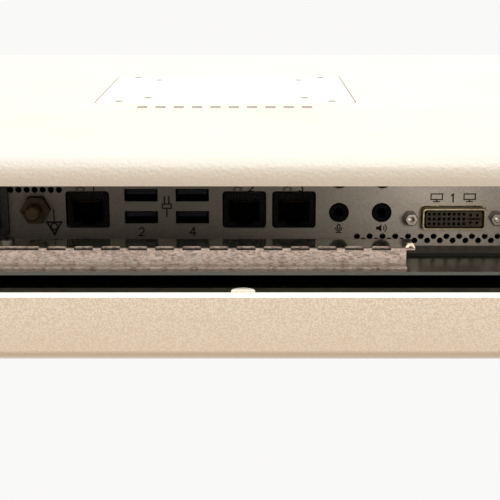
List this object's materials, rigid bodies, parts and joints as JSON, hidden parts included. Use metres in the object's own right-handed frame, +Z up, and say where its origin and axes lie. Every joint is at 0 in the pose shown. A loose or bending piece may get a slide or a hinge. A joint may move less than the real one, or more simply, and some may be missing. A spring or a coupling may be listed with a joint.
{
  "type": "all-in-one computer",
  "caption": "Wall or arm mounted panel computer with a white plastic housing, glass front, key row, and a downward-facing connector bay with a cable-tie rail.",
  "frame": {"origin": "centre of the square hole pattern, on the outer face of the mounting plate in the back", "axes": "+X to the user's right-hand side when facing the screen, +Y out of the back, +Z up; the screen faces -Y"},
  "size_m": [0.58, 0.0734, 0.396],
  "materials": {
    "cover_white": "fine orange-peel",
    "bezel_white": "fine orange-peel",
    "screen_glass": "polished, dark when off",
    "foam_black": "closed-cell foam",
    "lcd_black": "polariser film",
    "sheet_steel": "zinc plated",
    "bright_steel": "bare, rolled",
    "panel_grey": "satin",
    "black_plastic": "moulded",
    "white_film": "diffuser film",
    "board_green": "solder mask",
    "painted_white": "powder coat",
    "gold_contact": "plated",
    "blue_plastic": "moulded",
    "olive_plastic": "moulded",
    "nickel": "nickel plated",
    "tarnished_nickel": "tarnished nickel plate",
    "alu": "extruded",
    "chip_dark": "moulded",
    "key_white": "moulded",
    "key_green": "moulded",
    "light_clear": "clear",
    "cable_sleeve": "braided sleeve",
    "flex_tan": "flat flex",
    "aluminium_case": "anodised"
  },
  "bodies": {
    "housing": {"back_cover": "cover_white", "front_bezel": "bezel_white", "cover_glass": "screen_glass", "glass_seal": "foam_black", "lcd_cell": "lcd_black", "lcd_frame": "sheet_steel", "backlight": "white_film", "lcd_brackets": "sheet_steel", "led_driver_board": "board_green", "chassis_plate": "bright_steel", "io_panel": "panel_grey", "cable_rail": "bright_steel", "panel_foot": "panel_grey", "bay_seal": "foam_black", "vesa_bracket": "painted_white", "vesa_nuts": "nickel", "lan_jack_1": "black_plastic", "lan_jack_2a": "black_plastic", "lan_jack_2b": "black_plastic", "lan_contacts": "gold_contact", "usb_shell_1_2": "nickel", "usb_shell_3_4": "nickel", "usb_tongues": "blue_plastic", "audio_sockets_mic": "black_plastic", "audio_sockets_speaker": "black_plastic", "video_shell_1": "nickel", "video_shell_2": "nickel", "video_cores": "olive_plastic", "video_jackscrews": "nickel", "ac_inlet": "black_plastic", "inlet_pins": "nickel", "rocker_frame": "black_plastic", "earth_pin": "tarnished_nickel", "earth_nuts": "tarnished_nickel", "mainboard": "board_green", "standoffs": "nickel", "inner_screws": "nickel", "processor": "chip_dark", "heat_sink": "alu", "blower_housing": "black_plastic", "memory_modules": "board_green", "wireless_card": "board_green", "drive_bracket": "sheet_steel", "drive": "aluminium_case", "psu_cage": "sheet_steel", "psu_board": "board_green", "speaker_left": "black_plastic", "speaker_right": "black_plastic", "power_cable": "cable_sleeve", "display_cable": "flex_tan", "housing_screws": "nickel", "key_board": "board_green", "light_pipe": "light_clear"},
    "rocker": {"mains_rocker": "black_plastic"},
    "rotor": {"blower_rotor": "black_plastic"},
    "power_key": {"power_button": "key_green"},
    "brightness_down_key": {"key_brightness_down": "key_white"},
    "brightness_up_key": {"key_brightness_up": "key_white"},
    "volume_down_key": {"key_volume_down": "key_white"},
    "volume_up_key": {"key_volume_up": "key_white"}
  },
  "joints": [
    {"name": "rocker_tilt", "type": "hinge", "parent": "housing", "child": "rocker", "pos_m": [0.124, -0.0274, -0.1564], "axis": [1, 0, 0], "range_deg": [0, 24]},
    {"name": "blower_spin", "type": "hinge", "parent": "housing", "child": "rotor", "pos_m": [-0.04, -0.024, 0.017], "axis": [0, 1, 0], "continuous": true},
    {"name": "power_press", "type": "slide", "parent": "housing", "child": "power_key", "axis": [0, 1, 0], "range_m": [0, 0.001], "stiffness_N_per_m": 400, "springref_m": -0.001},
    {"name": "brightness_down_press", "type": "slide", "parent": "housing", "child": "brightness_down_key", "axis": [0, 1, 0], "range_m": [0, 0.001], "stiffness_N_per_m": 300, "springref_m": -0.001},
    {"name": "brightness_up_press", "type": "slide", "parent": "housing", "child": "brightness_up_key", "axis": [0, 1, 0], "range_m": [0, 0.001], "stiffness_N_per_m": 300, "springref_m": -0.001},
    {"name": "volume_down_press", "type": "slide", "parent": "housing", "child": "volume_down_key", "axis": [0, 1, 0], "range_m": [0, 0.001], "stiffness_N_per_m": 300, "springref_m": -0.001},
    {"name": "volume_up_press", "type": "slide", "parent": "housing", "child": "volume_up_key", "axis": [0, 1, 0], "range_m": [0, 0.001], "stiffness_N_per_m": 300, "springref_m": -0.001}
  ]
}
